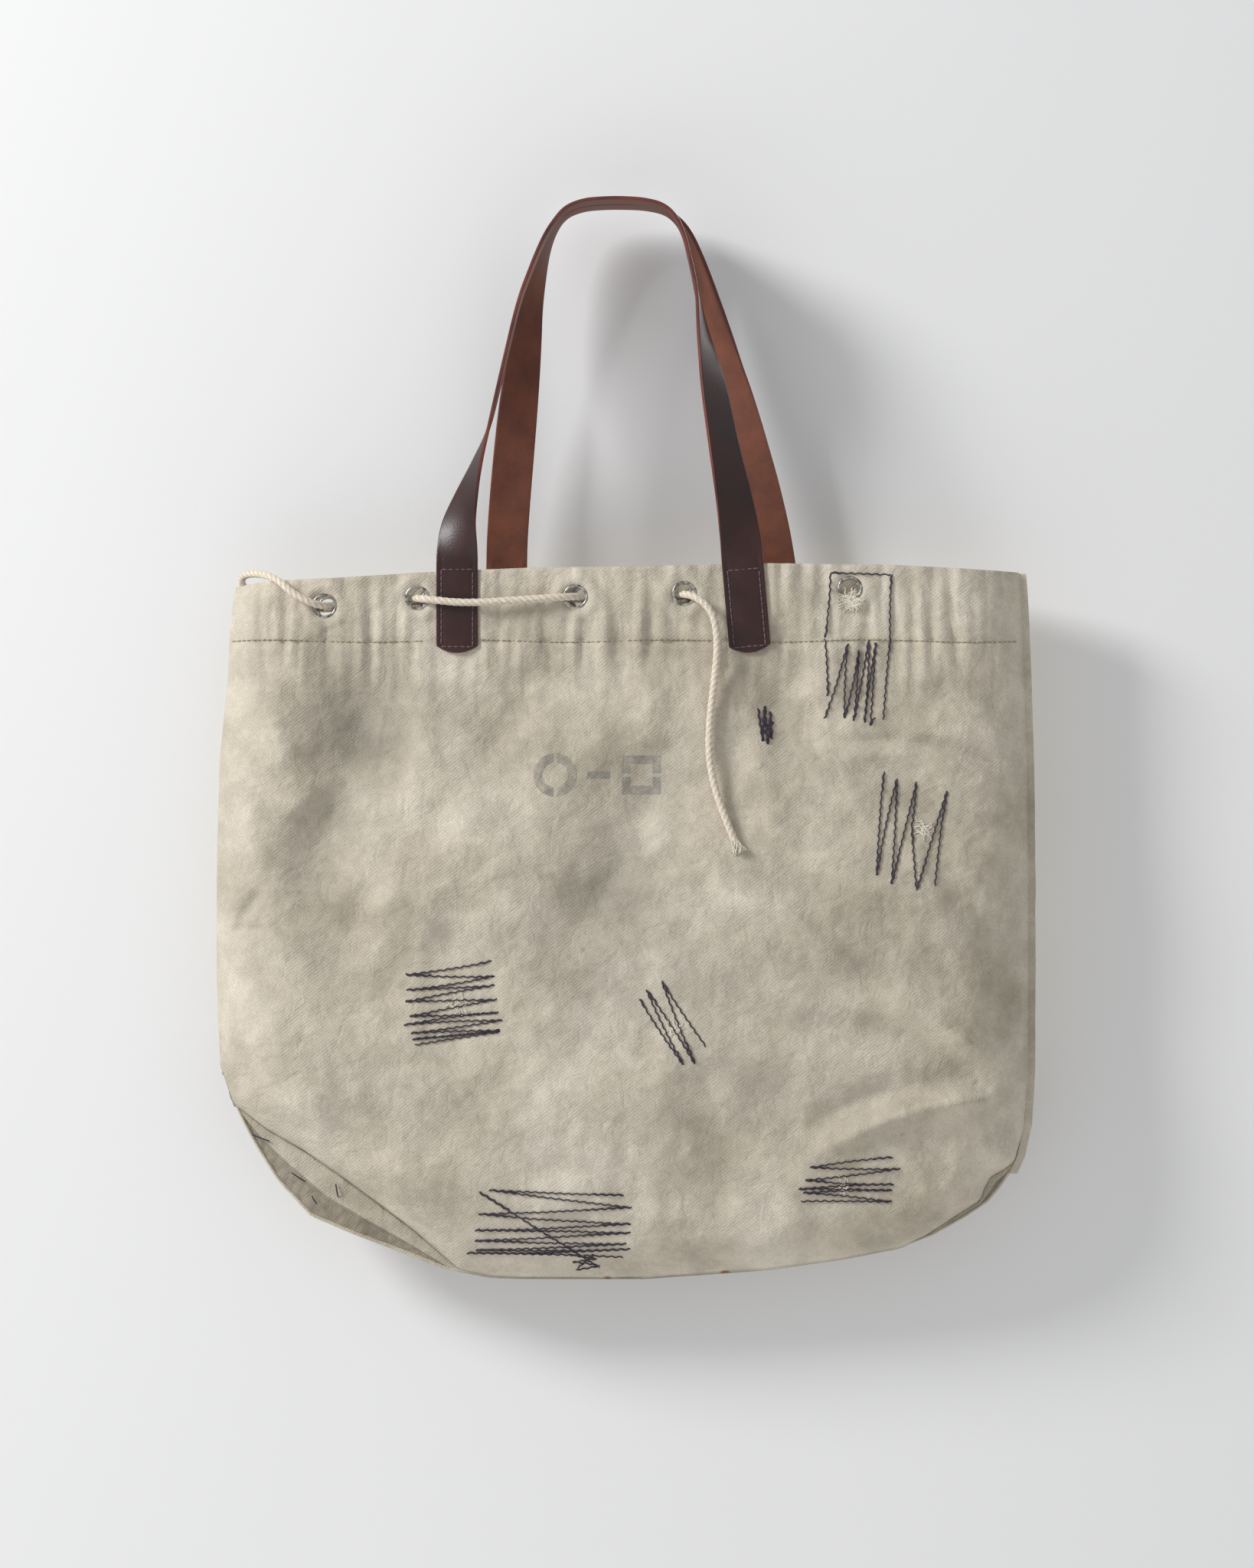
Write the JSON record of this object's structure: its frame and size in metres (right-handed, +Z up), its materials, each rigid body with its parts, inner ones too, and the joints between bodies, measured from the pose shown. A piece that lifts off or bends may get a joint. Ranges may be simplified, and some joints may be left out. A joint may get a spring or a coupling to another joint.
{
  "type": "mail sack",
  "caption": "Flat-hanging canvas mail sack with a hem of steel eyelets, a laced cotton drawstring and two long leather carrying handles.",
  "frame": {"origin": "hanging point: the underside of the two handle straps where they lie over a pair of pegs, midway between the pegs and midway between the straps", "axes": "+Z up, +X to the right seen from the front, -Y out of the front face"},
  "size_m": [0.521, 0.0746, 0.6798],
  "materials": {
    "canvas": "matt cotton duck with a twill face",
    "base_canvas": "matt cotton duck, quilted and soiled",
    "dark_leather": "polished vegetable-tanned leather with raw edges",
    "eyelet_steel": "worn nickel-plated steel",
    "cotton_cord": "twisted cotton cord",
    "mending_thread": "dark mending thread",
    "handle_thread": "waxed thread",
    "hem_thread": "cotton thread"
  },
  "bodies": {
    "sack": {"front_panel": "canvas", "front_side_left": "canvas", "front_side_right": "canvas", "front_foot": "canvas", "front_corner_left": "canvas", "front_corner_right": "canvas", "back_panel": "canvas", "back_side_left": "canvas", "back_side_right": "canvas", "back_foot": "canvas", "back_corner_left": "canvas", "back_corner_right": "canvas", "base_panel": "base_canvas", "front_facing": "canvas", "back_facing": "canvas", "side_seam": "canvas", "hem_stitching": "hem_thread", "eyelet_patch": "canvas", "front_eyelet_1": "eyelet_steel", "front_eyelet_2": "eyelet_steel", "front_eyelet_3": "eyelet_steel", "front_eyelet_4": "eyelet_steel", "front_eyelet_5": "eyelet_steel", "back_eyelet_1": "eyelet_steel", "back_eyelet_2": "eyelet_steel", "back_eyelet_3": "eyelet_steel", "back_eyelet_4": "eyelet_steel", "back_eyelet_5": "eyelet_steel", "front_eyelet_washers": "eyelet_steel", "back_eyelet_washers": "eyelet_steel", "front_tab_left": "dark_leather", "front_tab_right": "dark_leather", "front_tab_stitching": "handle_thread", "back_tab_left": "dark_leather", "back_tab_right": "dark_leather", "back_tab_stitching": "handle_thread", "mend_left": "mending_thread", "mend_middle": "mending_thread", "mend_bottom_left": "mending_thread", "mend_bottom_right": "mending_thread", "mend_right": "mending_thread", "mend_small": "mending_thread", "mend_under_eyelet": "mending_thread", "patch_stitching": "mending_thread", "drawstring": "cotton_cord", "drawstring_knot": "cotton_cord", "drawstring_frayed_end": "cotton_cord"},
    "front_handle": {"front_handle_strap": "dark_leather"},
    "back_handle": {"back_handle_strap": "dark_leather"}
  },
  "joints": [
    {"name": "front_handle_fold", "type": "hinge", "parent": "sack", "child": "front_handle", "pos_m": [0, -0.0245, -0.2215], "axis": [1, 0, 0], "range_deg": [0, 140]},
    {"name": "back_handle_fold", "type": "hinge", "parent": "sack", "child": "back_handle", "pos_m": [0, 0.0245, -0.2215], "axis": [-1, 0, 0], "range_deg": [0, 140]}
  ]
}
